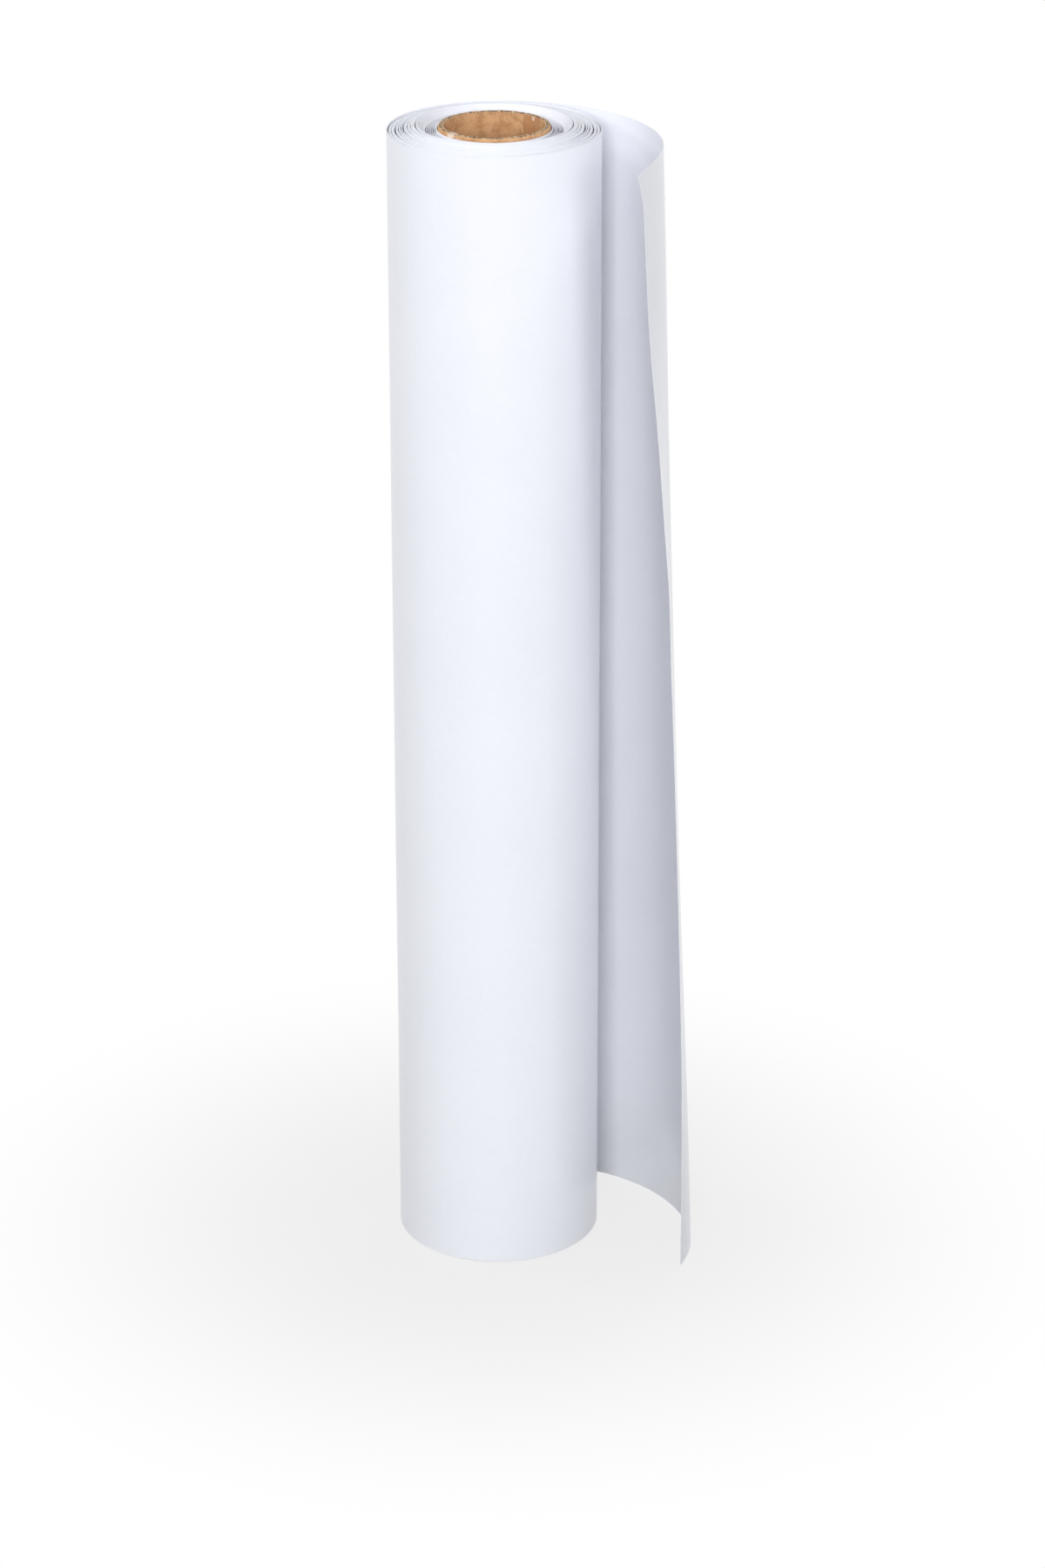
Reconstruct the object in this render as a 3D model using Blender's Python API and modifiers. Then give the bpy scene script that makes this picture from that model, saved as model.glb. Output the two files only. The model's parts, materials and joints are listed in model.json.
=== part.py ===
"""Backdrop paper roll: a white paper web on a kraft board core, standing on end with its tail loose.

Metres, +Z up. The roll's axis is the Z axis, and the roll stands on Z = 0. Azimuth is measured from +Y,
the roll's back, towards +X, which is the way the web winds outwards. One modelled turn of the web stands
for about five real ones.
"""

import math

import bmesh
import bpy
import numpy as np

# Web: the paper's width and the roll's outside diameter.
WEB_WIDTH = 0.610
ROLL_DIAMETER = 0.107
SHEET_THICKNESS = 0.0005
LOOP_GAP = 0.00042

# Core: a tube of parallel-wound plies, each with a straight butt seam. The liner's seam shows in the bore.
# The tube is cut to the web's width and stands a little proud of it at the upper end.
CORE_PROUD = 0.003
CORE_BORE = 0.0508
PLY_NAMES = ("core_liner_ply", "core_inner_ply", "core_middle_ply", "core_outer_ply")
PLY_THICKNESS = 0.000525
PLY_SEAM = 0.0006
LINER_SEAM = math.radians(35.0)
SEAM_STAGGER = math.radians(140.0)

# Tape that holds the web's first edge to the core.
TAPE_WIDTH = 0.025
TAPE_THICKNESS = 0.0003
TAPE_END_INSET = 0.010

# Ends of the roll: the turns stand proud in a cone round a recess of level turns next to the core.
RECESS_RADIUS = 0.0387
CONE_HEIGHT = 0.0036

# Tail: where it leaves the roll, how long it is, and how its plan curves change from foot to top.
DEPARTURE = math.radians(-32.0)
TAIL_LENGTH = 0.215
TAIL_SPLIT = 0.115
LIFT_OFF_FOOT = -0.0015
LIFT_OFF_TOP = 0.0293
LIFT_OFF_POWER = 0.8
LIFT_OFF_BLEND = 0.003
FREE_RADIUS_FOOT = 0.087
FREE_RADIUS_TOP = 0.0825
CURL_LENGTH = 0.0364
CURL_BLEND = 0.004
CURL_FOOT = 13.3
CURL_MIDDLE = -1.9
CURL_TOP = 4.3

# Fits: touching pieces, the running gap of each bend in the tail, and the loose turn's lift off the floor.
CLEARANCE = 0.0003
BEND_GAP = 0.0006
FOOT_LIFT = 0.0008

# Facets.
LOOP_COLUMNS = 24
PLY_COLUMNS = 48
TURN_COLUMNS = 96
TAIL_COLUMNS = 20
TAIL_ROWS = 8
TAPE_COLUMNS = 6
CURVE_STEPS = 430

# Finishes: base colour, roughness.
KRAFT = ((0.52, 0.29, 0.13, 1.0), 0.85)
PAPER = ((0.86, 0.87, 0.91, 1.0), 0.42)
TAPE = ((0.80, 0.77, 0.66, 1.0), 0.50)

TURN = 2.0 * math.pi
CORE_LENGTH = WEB_WIDTH + CORE_PROUD
PLY_STEP = PLY_THICKNESS + CLEARANCE
PLY_RADII = [CORE_BORE / 2 + PLY_THICKNESS / 2 + ply * PLY_STEP for ply in range(len(PLY_NAMES))]
PLY_SEAMS = [LINER_SEAM + ply * SEAM_STAGGER for ply in range(len(PLY_NAMES))]
CORE_RADIUS = PLY_RADII[-1] + PLY_THICKNESS / 2
LOOP_PITCH = SHEET_THICKNESS + LOOP_GAP

# The loose last turn spirals out by one pitch. Its mean outer face has the roll's diameter.
LAST_TURN_START = ROLL_DIAMETER / 2 - SHEET_THICKNESS / 2 - LOOP_PITCH / 2
LAST_TURN_END = LAST_TURN_START + LOOP_PITCH

# The winding fills the room between the tape and the loose turn with whole loops. A facet's middle
# lies nearer the axis than its ends, so both radii allow for that.
LOOP_FLAT = math.cos(math.pi / LOOP_COLUMNS)
TURN_FLAT = math.cos(math.pi / TURN_COLUMNS)
TAPE_RADIUS = CORE_RADIUS + CLEARANCE + TAPE_THICKNESS / 2
TAPE_FACE = TAPE_RADIUS + TAPE_THICKNESS / 2
WINDING_START = (TAPE_FACE + CLEARANCE + SHEET_THICKNESS / 2) / LOOP_FLAT
WINDING_ROOM = (LAST_TURN_START - SHEET_THICKNESS / 2) * TURN_FLAT - CLEARANCE
WINDING_END = WINDING_ROOM - SHEET_THICKNESS / 2 / LOOP_FLAT
LOOPS = int((WINDING_END - WINDING_START) * LOOP_FLAT / LOOP_PITCH)
WINDING_PITCH = (WINDING_END - WINDING_START) / LOOPS


def on_roll(radius, azimuth, height):
    """A point at this distance from the roll's axis."""
    return (radius * math.sin(azimuth), radius * math.cos(azimuth), height)


def smooth_step(value):
    """0 below 0, 1 above 1, and an even S between."""
    share = min(max(value, 0.0), 1.0)
    return share * share * (3.0 - 2.0 * share)


def finish(name, look):
    """A Principled material in this colour and roughness."""
    material = bpy.data.materials.new(name + "_finish")
    material.use_nodes = True
    shader = material.node_tree.nodes["Principled BSDF"]
    shader.inputs["Base Color"].default_value = look[0]
    shader.inputs["Roughness"].default_value = look[1]
    shader.inputs["Metallic"].default_value = 0.0
    return material


def add_part(name, mesh, look, collection, origin, parent):
    """An object of the assembly, with its origin at a world point, under an optional parent."""
    mesh.shade_smooth()
    mesh.set_sharp_from_angle(angle=math.radians(40.0))
    mesh.materials.append(finish(name, look))
    part = bpy.data.objects.new(name, mesh)
    collection.objects.link(part)
    held_at = np.zeros(3)
    if parent is not None:
        part.parent = parent
        held_at = np.array(parent["world_origin"])
    part["world_origin"] = [float(value) for value in origin]
    part.location = np.array(origin) - held_at
    return part


def add_sheet(name, place, columns, rows, thickness, look, collection, origin=(0.0, 0.0, 0.0), parent=None):
    """A sheet of even thickness: a flat grid carried by place(along, up), both 0 to 1, then made solid."""
    form = bmesh.new()
    bmesh.ops.create_grid(form, x_segments=columns, y_segments=rows, size=0.5)
    for point in form.verts:
        point.co = np.array(place(point.co.x + 0.5, point.co.y + 0.5)) - np.array(origin)
    mesh = bpy.data.meshes.new(name)
    form.to_mesh(mesh)
    form.free()
    part = add_part(name, mesh, look, collection, origin, parent)
    solid = part.modifiers.new("thickness", "SOLIDIFY")
    solid.thickness = thickness
    solid.offset = 0.0
    solid.use_even_offset = True
    solid.use_quality_normals = True
    return part


def add_ply(name, radius, seam, collection):
    """A ply of the core: one layer of board bent round to a straight butt seam at this azimuth."""
    sweep = TURN - PLY_SEAM / radius

    def place(along, up):
        return on_roll(radius, seam + PLY_SEAM / 2 / radius + along * sweep, up * CORE_LENGTH)

    add_sheet(name, place, PLY_COLUMNS, 1, PLY_THICKNESS, KRAFT, collection)


def add_core(collection):
    """The cardboard tube, ply by ply from the bore out, with the seams staggered."""
    for name, radius, seam in zip(PLY_NAMES, PLY_RADII, PLY_SEAMS):
        add_ply(name, radius, seam, collection)
    print(f"core: {len(PLY_NAMES)} plies, seams {PLY_SEAM * 1000:.3f} mm wide")


def add_start_tape(collection):
    """The tape between the core and the first loop, along the web's first edge."""
    sweep = TAPE_WIDTH / TAPE_RADIUS

    def place(along, up):
        height = TAPE_END_INSET + up * (WEB_WIDTH - 2.0 * TAPE_END_INSET)
        return on_roll(TAPE_RADIUS, DEPARTURE + along * sweep, height)

    add_sheet("start_tape", place, TAPE_COLUMNS, 1, TAPE_THICKNESS, TAPE, collection)


def turn_rise(radius):
    """How far a turn has slid along the axis: level in the recess, then a step up to a cone that falls outwards."""
    step = smooth_step((radius - RECESS_RADIUS) / WINDING_PITCH + 0.5)
    fall = (WINDING_END - radius) / (WINDING_END - RECESS_RADIUS)
    return CONE_HEIGHT * step * min(fall, 1.0)


def winding_line():
    """Radius and azimuth at each column of the winding, as one unbroken spiral from the core outwards."""
    share = np.linspace(0.0, 1.0, LOOPS * LOOP_COLUMNS + 1)
    radius = WINDING_START + (WINDING_END - WINDING_START) * share
    azimuth = DEPARTURE + (share - 1.0) * LOOPS * TURN
    return radius, azimuth


def least_gap(points, line, apart):
    """Least distance from points to the stretches of a line that lie at least so many columns away."""
    starts = line[:-1]
    runs = line[1:] - line[:-1]
    reach = points[:, None] - starts[None]
    share = np.clip((reach * runs).sum(-1) / (runs * runs).sum(-1), 0.0, 1.0)
    distance = np.linalg.norm(reach - share[..., None] * runs, axis=-1)
    near = np.abs(np.arange(len(points))[:, None] - np.arange(len(starts))[None]) < apart
    return np.where(near, np.inf, distance).min()


def add_winding(collection):
    """The wound web, as a spiral sheet of whole loops."""
    radii, azimuths = winding_line()
    columns = len(radii) - 1

    def place(along, up):
        column = round(along * columns)
        return on_roll(radii[column], azimuths[column], turn_rise(radii[column]) + up * WEB_WIDTH)

    add_sheet("winding", place, columns, 1, SHEET_THICKNESS, PAPER, collection)
    line = np.stack([radii * np.sin(azimuths), radii * np.cos(azimuths)], axis=-1)
    gap = least_gap(line, line, LOOP_COLUMNS // 2) - SHEET_THICKNESS
    print(f"winding: {LOOPS} loops, least gap to itself {gap * 1000:.3f} mm")


def add_outer_turn(collection):
    """The loose last turn, from under the line where the tail leaves round to that line."""
    sweep = TURN - BEND_GAP / 2 / LAST_TURN_END

    def place(along, up):
        radius = LAST_TURN_START + LOOP_PITCH * along * sweep / TURN
        return on_roll(radius, DEPARTURE + along * sweep, FOOT_LIFT + up * WEB_WIDTH)

    return add_sheet("outer_turn", place, TURN_COLUMNS, 1, SHEET_THICKNESS, PAPER, collection)


def tail_curve(up):
    """Length along the tail and its plan points at this share of the web's width.

    Each plan curve keeps to the roll up to its lift-off, then bends freely on a large radius, and its last
    stretch has its own bend, so that the cut edge curls in at its corners and hangs straight between them.
    """
    length = np.linspace(0.0, TAIL_LENGTH, CURVE_STEPS)
    lift_off = LIFT_OFF_FOOT + (LIFT_OFF_TOP - LIFT_OFF_FOOT) * up**LIFT_OFF_POWER
    held = 1.0 / (1.0 + np.exp((length - lift_off) / LIFT_OFF_BLEND))
    curled = 1.0 / (1.0 + np.exp((TAIL_LENGTH - CURL_LENGTH - length) / CURL_BLEND))
    free_bend = 1.0 / (FREE_RADIUS_FOOT + (FREE_RADIUS_TOP - FREE_RADIUS_FOOT) * up)
    corners = CURL_FOOT + (CURL_TOP - CURL_FOOT) * up
    sag = 4.0 * up * (1.0 - up) * (CURL_MIDDLE - (CURL_FOOT + CURL_TOP) / 2)
    bend = held / LAST_TURN_END + (1.0 - held) * (free_bend + (corners + sag - free_bend) * curled)
    step = length[1] - length[0]
    turned = np.concatenate([[0.0], np.cumsum((bend[1:] + bend[:-1]) / 2 * step)])
    heading = -DEPARTURE - turned
    middle = (heading[1:] + heading[:-1]) / 2
    across = LAST_TURN_END * math.sin(DEPARTURE) + np.concatenate([[0.0], np.cumsum(np.cos(middle) * step)])
    back = LAST_TURN_END * math.cos(DEPARTURE) + np.concatenate([[0.0], np.cumsum(np.sin(middle) * step)])
    return length, across, back


TAIL_CURVES = {row: tail_curve(row / TAIL_ROWS) for row in range(TAIL_ROWS + 1)}


def tail_point(along, row):
    """A point of the tail at this length from the line where it leaves the roll."""
    length, across, back = TAIL_CURVES[row]
    height = FOOT_LIFT + WEB_WIDTH * row / TAIL_ROWS
    return (float(np.interp(along, length, across)), float(np.interp(along, length, back)), height)


def bend_axis(along):
    """Foot point and direction of the upright line that best follows the tail at this length."""
    low = np.array(tail_point(along, 1))
    high = np.array(tail_point(along, TAIL_ROWS - 1))
    direction = (high - low) / np.linalg.norm(high - low)
    return low - direction * (low[2] / direction[2]), direction


def add_tail(name, start, end, collection, origin, parent):
    """A stretch of the tail between two lengths from the roll."""

    def place(along, up):
        return tail_point(start + along * (end - start), round(up * TAIL_ROWS))

    return add_sheet(
        name, place, TAIL_COLUMNS, TAIL_ROWS, SHEET_THICKNESS, PAPER, collection, origin, parent
    )


def build():
    for leftover in list(bpy.data.objects):
        bpy.data.objects.remove(leftover, do_unlink=True)
    collection = bpy.data.collections.new("backdrop_paper_roll")
    bpy.context.scene.collection.children.link(collection)
    add_core(collection)
    add_start_tape(collection)
    add_winding(collection)
    turn = add_outer_turn(collection)
    peel_line = on_roll(LAST_TURN_END, DEPARTURE, 0.0)
    curl_line, curl_direction = bend_axis(TAIL_SPLIT)
    root_end = TAIL_SPLIT - BEND_GAP / 2
    root = add_tail("tail_root", BEND_GAP / 2, root_end, collection, peel_line, turn)
    add_tail("tail_end", TAIL_SPLIT + BEND_GAP / 2, TAIL_LENGTH, collection, curl_line, root)
    print("peel axis through", [round(value, 5) for value in peel_line])
    print("curl axis through", curl_line.round(5).tolist(), "along", curl_direction.round(5).tolist())


build()
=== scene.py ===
"""Dresses the frame of a backdrop paper roll: wound web, loose last turns, peeling tail and kraft core.

Metres, +Z up. The roll's axis is the Z axis and it stands on Z = 0. Azimuth runs from the back (+Y) towards
+X, which is the way the web winds outwards, and the viewer stands on the -Y side.
"""

import json
import math

import bpy
import numpy as np
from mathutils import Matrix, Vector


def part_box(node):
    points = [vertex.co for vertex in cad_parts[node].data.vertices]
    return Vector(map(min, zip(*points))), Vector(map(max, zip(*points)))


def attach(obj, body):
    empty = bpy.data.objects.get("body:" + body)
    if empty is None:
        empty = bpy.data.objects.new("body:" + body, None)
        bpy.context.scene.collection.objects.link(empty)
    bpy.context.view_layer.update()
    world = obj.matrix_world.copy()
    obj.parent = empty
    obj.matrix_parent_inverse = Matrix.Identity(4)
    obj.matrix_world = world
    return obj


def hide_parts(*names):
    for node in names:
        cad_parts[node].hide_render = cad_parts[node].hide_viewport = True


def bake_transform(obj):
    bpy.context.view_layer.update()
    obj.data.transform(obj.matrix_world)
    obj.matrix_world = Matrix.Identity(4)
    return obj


bl_info = {
    "name": "Backdrop Paper Roll",
    "version": (1, 0, 0),
    "blender": (4, 5, 0),
    "location": "View3D > Sidebar > Paper Roll",
    "description": "Dresses the frame of a backdrop paper roll with its web, its core and a studio stage",
    "category": "Object",
}

TURN = 2.0 * math.pi

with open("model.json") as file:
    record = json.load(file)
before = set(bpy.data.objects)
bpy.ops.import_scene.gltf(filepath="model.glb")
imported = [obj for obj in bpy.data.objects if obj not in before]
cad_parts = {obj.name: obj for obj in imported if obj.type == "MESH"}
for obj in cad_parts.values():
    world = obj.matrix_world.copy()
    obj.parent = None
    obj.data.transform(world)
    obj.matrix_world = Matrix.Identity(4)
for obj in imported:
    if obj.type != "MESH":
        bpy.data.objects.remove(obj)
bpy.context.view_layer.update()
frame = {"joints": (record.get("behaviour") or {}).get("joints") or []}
JOINTS = {joint["name"]: joint for joint in frame["joints"]}
PEEL_LINE = np.array(JOINTS["peel"]["pos_m"])

# The tail leaves the roll along the peel joint's line, on the middle surface of the loose turn.
LEAVE_AZIMUTH = math.atan2(PEEL_LINE[0], PEEL_LINE[1])
LEAVE_RADIUS = math.hypot(PEEL_LINE[0], PEEL_LINE[1])
TURN_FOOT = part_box("outer_turn")[0].z
TURN_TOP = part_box("outer_turn")[1].z
WEB_WIDTH = TURN_TOP - TURN_FOOT
CORE_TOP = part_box("core_outer_ply")[1].z

# Lines where the winding is slack, from the core outwards: how far in from the last turn, the extra room
# and how far the turns' edges dip there.
SLACK_LINES = (
    (0.0243, 0.00050, 0.0004),
    (0.0234, 0.00045, 0.0005),
    (0.0225, 0.00050, 0.0004),
    (0.0216, 0.00050, 0.0005),
    (0.0207, 0.00045, 0.0005),
    (0.0198, 0.00050, 0.0004),
    (0.0146, 0.00045, 0.0008),
    (0.0120, 0.00020, 0.0003),
    (0.0106, 0.00025, 0.0004),
    (0.0087, 0.00060, 0.0008),
    (0.0074, 0.00025, 0.0004),
    (0.0062, 0.00030, 0.0004),
    (0.0047, 0.00060, 0.0008),
    (0.0026, 0.00020, 0.0003),
)

# Shares of a turn over which the radius steps out at a slack line, and over which dip and painted edge shade
# spread. Then the turns between which the collar at the core falls off.
SLACK_STEP = 0.12
DIP_SPREAD = 0.8
SLACK_SHADE_SPREAD = 0.6
COLLAR_TURNS = (2, 4)

# Points to a turn of the wound web, the loose turn under the last one and the last one.
WOUND_STEPS = 72
UNDER_STEPS = 144
LAST_STEPS = 240

# Lift of the loose turn's edge, swells in the last turn's face and wander of the tail's cut.
UNDER_LIFT = 0.00012
SWELL_HEIGHT = 0.00003
CUT_WANDER = 0.00012

# The tail's columns in its two stretches and the finer steps that their bend is summed over.
ROOT_COLUMNS = 36
END_COLUMNS = 72
BEND_STEPS = 4

# The tail's two buckles, as shares of the web's width: place and spread. Then where its waves start and how
# long they take to grow.
UPPER_BUCKLE = (0.87, 0.09)
LOWER_BUCKLE = (0.64, 0.05)
WAVE_START = 0.03
WAVE_GROWTH = 0.15

# A core ply's rows next to a rim, where the even rows start, the lengths over which fray, splay and shoulder
# die out, and how uneven the board's faces are.
RIM_ROWS = np.array([0.0, 0.0003, 0.0008, 0.0016, 0.0032, 0.007, 0.02])
EVEN_ROWS_INSET = 0.06
FRAY_DEPTH = 0.0012
SPLAY_DEPTH = 0.0030
SHOULDER_DEPTH = 0.0013
BOARD_UNEVENNESS = 0.00002

# Torn patches by the core's upper rim: place along the flat board, depth below the rim and half sizes.
SCUFF_AROUND = 0.0062
SCUFF_BELOW = 0.0015
SCUFF_SIZE = (0.0014, 0.0013)
TEAR_BELOW = 0.0009
TEAR_SIZE = (0.0034, 0.0014)

# Strands on the core's rim: the tuft's number of shreds and their spread in radians, then the ranges that
# shreds and fibres are drawn from. Depth is a share of the wall, and rise, swing and bend of the reach.
TUFT_SHREDS = 40
TUFT_SPREAD = 0.055
SHRED = {"depth": (0.1, 0.7), "reach": (0.0014, 0.0034), "bend": (-0.3, 1.1), "width": (0.0007, 0.0018)}
FIBRE = {"depth": (0.02, 0.80), "reach": (0.0003, 0.0010), "bend": (-0.8, 0.5), "width": (0.00004, 0.00009)}
SHRED_RISE = 0.70
FIBRE_RISE = (0.25, 1.0)
SHRED_SWING = 0.45
SHRED_THICKNESS = 0.00007

# The start tape's room over the core, and the height and pitch of its ripple.
TAPE_ROOM = 0.00002
RIPPLE_HEIGHT = 0.00001
RIPPLE_PITCH = 0.0052

# The soft lights: the side of each square and its place. The stage's settings hold their powers.
LAMPS = {
    "front": (1.0, (-0.25, -3.2, 1.6)),
    "right": (0.8, (1.7, -2.65, 1.35)),
    "left": (0.5, (-2.0, -0.6, 1.6)),
    "upper_left": (0.35, (-1.1, 0.35, 1.8)),
    "upper_right": (0.35, (1.2, 0.2, 1.9)),
    "top": (1.2, (0.0, 0.0, 3.0)),
    "back": (1.0, (1.4, 2.9, 0.8)),
}
SENSOR_WIDTH = 36.0

# The floor's grey, its share of plain white by the roll, and the distances over which that grows to one.
FLOOR_GREY = (0.32, 0.32, 0.32)
FLOOR_PLAIN = 0.79
FLOOR_FADE = (0.06, 0.34)


def length_property(name, description, default):
    """A size that a user can change, in metres."""
    return bpy.props.FloatProperty(
        name=name, description=description, default=default, unit="LENGTH", precision=5
    )


def colour_property(name, description, default):
    """A colour that a user can change, in linear light."""
    return bpy.props.FloatVectorProperty(
        name=name, description=description, default=default, subtype="COLOR", size=3, min=0.0, max=1.0
    )


def number_property(name, description, default):
    """A plain number that a user can change."""
    return bpy.props.FloatProperty(name=name, description=description, default=default, precision=3)


def angle_property(name, description, degrees):
    """An angle that a user can change."""
    return bpy.props.FloatProperty(
        name=name, description=description, default=math.radians(degrees), subtype="ANGLE"
    )


class WebSettings(bpy.types.PropertyGroup):
    """The paper web, wound and loose."""

    thickness: length_property("Thickness", "Thickness of the paper", 0.00022)
    wound_pitch: length_property("Wound pitch", "Step from turn to turn in the wound web", 0.00023)
    loose_pitch: length_property("Loose pitch", "Step from turn to turn in the loose last turns", 0.00027)
    loose_turns: bpy.props.IntProperty(
        name="Loose turns", description="Turns that lie loose under the last one", default=1, min=1
    )
    core_room: length_property("Core room", "From the core's face to the first turn's middle", 0.00025)
    outer_room: length_property("Outer room", "From the last wound turn to the loose ones", 0.00025)
    recess_floor: length_property("Recess floor", "Radius where the level turns near the core end", 0.0355)
    recess_rim: length_property("Recess rim", "Radius where the turns stand proudest", 0.0387)
    cone_height: length_property("Cone height", "How far the turns stand proud at the recess's rim", 0.0036)
    floor_rise: length_property("Floor rise", "How far the recess's floor is over the outer turns", 0.0005)
    collar: length_property("Collar", "How far the first turns stand proud at the core", 0.0011)
    ruffle: length_property("Ruffle", "How unevenly the turns' edges lie", 0.00008)


class TailSettings(bpy.types.PropertyGroup):
    """The loose end of the web."""

    length: length_property("Length", "From the line where the tail leaves the roll to its cut edge", 0.215)
    seam: length_property("Seam", "Where the tail's two modelled stretches meet", 0.072)
    lift_foot: length_property("Lift-off at the foot", "How far the foot stays on the roll", -0.0015)
    lift_top: length_property("Lift-off at the top", "How far the top stays on the roll", 0.0293)
    lift_power: number_property("Lift-off power", "How the lift-off line bows from foot to top", 0.8)
    lift_blend: length_property("Lift-off blend", "Length over which the bend changes at lift-off", 0.003)
    free_radius_foot: length_property("Free radius, foot", "Bend of the free stretch at the foot", 0.087)
    free_radius_top: length_property("Free radius, top", "Bend of the free stretch at the top", 0.0825)
    curl_length: length_property("Curl length", "Stretch by the cut edge with a bend of its own", 0.0364)
    curl_blend: length_property("Curl blend", "Length over which the bend changes at the curl", 0.004)
    curl_foot: number_property("Curl at the foot", "Bend next to the cut edge, in 1/m", 13.3)
    curl_middle: number_property("Curl at mid height", "Bend next to the cut edge, in 1/m", -1.9)
    curl_top: number_property("Curl at the top", "Bend next to the cut edge, in 1/m", 2.95)
    upper_buckle: number_property("Upper buckle", "Extra bend by the cut edge near the top, in 1/m", 2.9)
    lower_buckle: number_property("Lower buckle", "Extra bend by the cut edge further down, in 1/m", -1.2)
    ear_width: length_property("Ear width", "How far the upper corner runs past the cut", 0.0056)
    ear_height: length_property("Ear height", "Height of the corner that runs past the cut", 0.016)
    wave: length_property("Wave", "Height of the soft waves near the cut edge", 0.00025)


class CoreSettings(bpy.types.PropertyGroup):
    """The kraft board tube."""

    bore: length_property("Bore", "Inside diameter of the tube", 0.0508)
    wall: length_property("Wall", "Thickness of the tube's wall", 0.0030)
    liner: length_property("Liner", "Thickness of the innermost ply", 0.00055)
    split: length_property("Split", "Gap where the liner has come away from the next ply", 0.00052)
    splay: length_property("Splay", "How far the liner's rim leans back into that gap at the back", 0.00025)
    tilt: length_property("Tilt", "How far the liner's rim rises in front and sinks at the back", 0.00025)
    outer: length_property("Outer ply", "Thickness of the outermost ply", 0.00105)
    outer_split: length_property("Outer split", "Gap inside the outermost ply", 0.00030)
    shoulder: length_property("Shoulder", "How far the outermost ply's rim is rounded in", 0.00080)
    ply_gap: length_property("Ply gap", "Gap between the two middle plies", 0.00003)
    seam_gap: length_property("Seam gap", "Gap where a ply's edges meet", 0.00018)
    liner_seam: angle_property("Liner seam", "Azimuth of the seam in the bore", 35.0)
    stagger: angle_property("Seam stagger", "Azimuth from one ply's seam to the next", 140.0)
    fray: length_property("Fray", "How ragged the cut rims are", 0.00022)
    fibres: bpy.props.IntProperty(name="Fibres", description="Loose fibres on the rim", default=420, min=1)
    tuft_azimuth: angle_property("Tuft", "Azimuth of the torn tuft on the rim", 228.0)
    tape_width: length_property("Tape width", "Width of the tape that starts the web", 0.025)
    tape_thickness: length_property("Tape thickness", "Thickness of that tape", 0.00008)


class FinishSettings(bpy.types.PropertyGroup):
    """The colours of the paper, board and tape."""

    paper: colour_property("Paper", "Face of the paper", (0.885, 0.895, 0.94))
    paper_shade: colour_property("Paper shade", "Thin places in the paper's face", (0.86, 0.87, 0.92))
    edge: colour_property("Cut edge", "Cut edge of the paper", (0.80, 0.80, 0.83))
    # Mixed in by random dust, fibres and tone from turn to turn, and as painted shade on the turns' edges at
    # the slack lines.
    edge_shade: colour_property("Cut edge shade", "Dusty places on the cut edge", (0.66, 0.66, 0.71))
    kraft: colour_property("Kraft", "Face of the board", (0.64, 0.37, 0.185))
    kraft_dark: colour_property("Dark kraft", "Dark fibres in the board", (0.45, 0.23, 0.10))
    kraft_pale: colour_property("Pale kraft", "Pale fibres in the board", (0.74, 0.50, 0.29))
    kraft_red: colour_property("Red kraft", "Liner on one side of its seam", (0.37, 0.16, 0.06))
    kraft_cut: colour_property("Cut kraft", "Cut rim of the board", (0.66, 0.52, 0.34))
    # Painted shade: near black on the faces inside the core's splits, standing in for the shade there.
    glue: colour_property("Glue", "Dark glue in the splits between the plies", (0.085, 0.055, 0.030))
    fibre: colour_property("Loose fibre", "Fibres that stand off the rim", (0.82, 0.70, 0.60))
    tape: colour_property("Tape", "Creped paper tape", (0.80, 0.77, 0.66))


class StageSettings(bpy.types.PropertyGroup):
    """The floor, the lights and the camera."""

    lens: number_property("Lens", "Focal length of the camera in millimetres", 107.23)
    eye: bpy.props.FloatVectorProperty(
        name="Eye", description="Place of the camera", default=(0.01337, -2.26566, 1.21706), unit="LENGTH"
    )
    pitch: angle_property("Pitch", "How far the camera looks down", 22.9705)
    roll: angle_property("Roll", "How far the camera leans", -0.1153)
    fill: number_property("Fill", "Light from all round", 0.31)
    fill_colour: colour_property("Fill colour", "Colour of that light", (0.87, 0.925, 1.0))
    front: number_property("Front light", "Power of the wide soft light above the viewer, in watts", 70.0)
    right: number_property("Right light", "Power of the soft light at the viewer's right, in watts", 17.0)
    left: number_property("Left light", "Power of the soft light on the left, in watts", 7.5)
    upper_left: number_property("Upper left light", "Power of the light high on the left, in watts", 9.0)
    upper_right: number_property("Upper right light", "Power of the light high on the right, in watts", 3.0)
    top: number_property("Top light", "Power of the wide soft light overhead, in watts", 4.0)
    back: number_property("Back light", "Power of the wide soft light behind the roll, in watts", 50.0)
    floor_radius: length_property("Floor radius", "Radius of the floor", 7.0)


def settings():
    """The settings that the classes below read."""
    return bpy.context.scene.paper_roll


# Shapes


def smooth(value):
    """0 below 0, 1 above 1, and the cubic 3v^2 - 2v^3 between."""
    share = np.clip(value, 0.0, 1.0)
    return share * share * (3.0 - 2.0 * share)


def bell(value):
    """exp(-v^2), which is 1 at 0."""
    return np.exp(-(value**2))


def wander(angle, seed, low, high, fall=0.5):
    """A closed random line: sines of the whole frequencies low to high, each frequency^-fall tall.

    The phases are seeded, and the sum is scaled to a root mean square of 1.
    """
    waves = np.arange(low, high + 1)
    phase = np.random.default_rng(seed).uniform(0.0, TURN, waves.size)
    height = waves**-fall
    return np.sin(np.multiply.outer(angle, waves) + phase) @ height / np.sqrt((height**2).sum() / 2)


def on_roll(radius, azimuth, height):
    """Points at this radius: x is the radius times the azimuth's sine, y the radius times its cosine."""
    radius, azimuth, height = np.broadcast_arrays(radius, azimuth, height)
    return np.stack([radius * np.sin(azimuth), radius * np.cos(azimuth), height], axis=-1)


def flat_places(along, up):
    """Places on the flat sheet, from lengths along it and heights up it."""
    return np.stack(np.broadcast_arrays(along, up), axis=-1)


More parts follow.
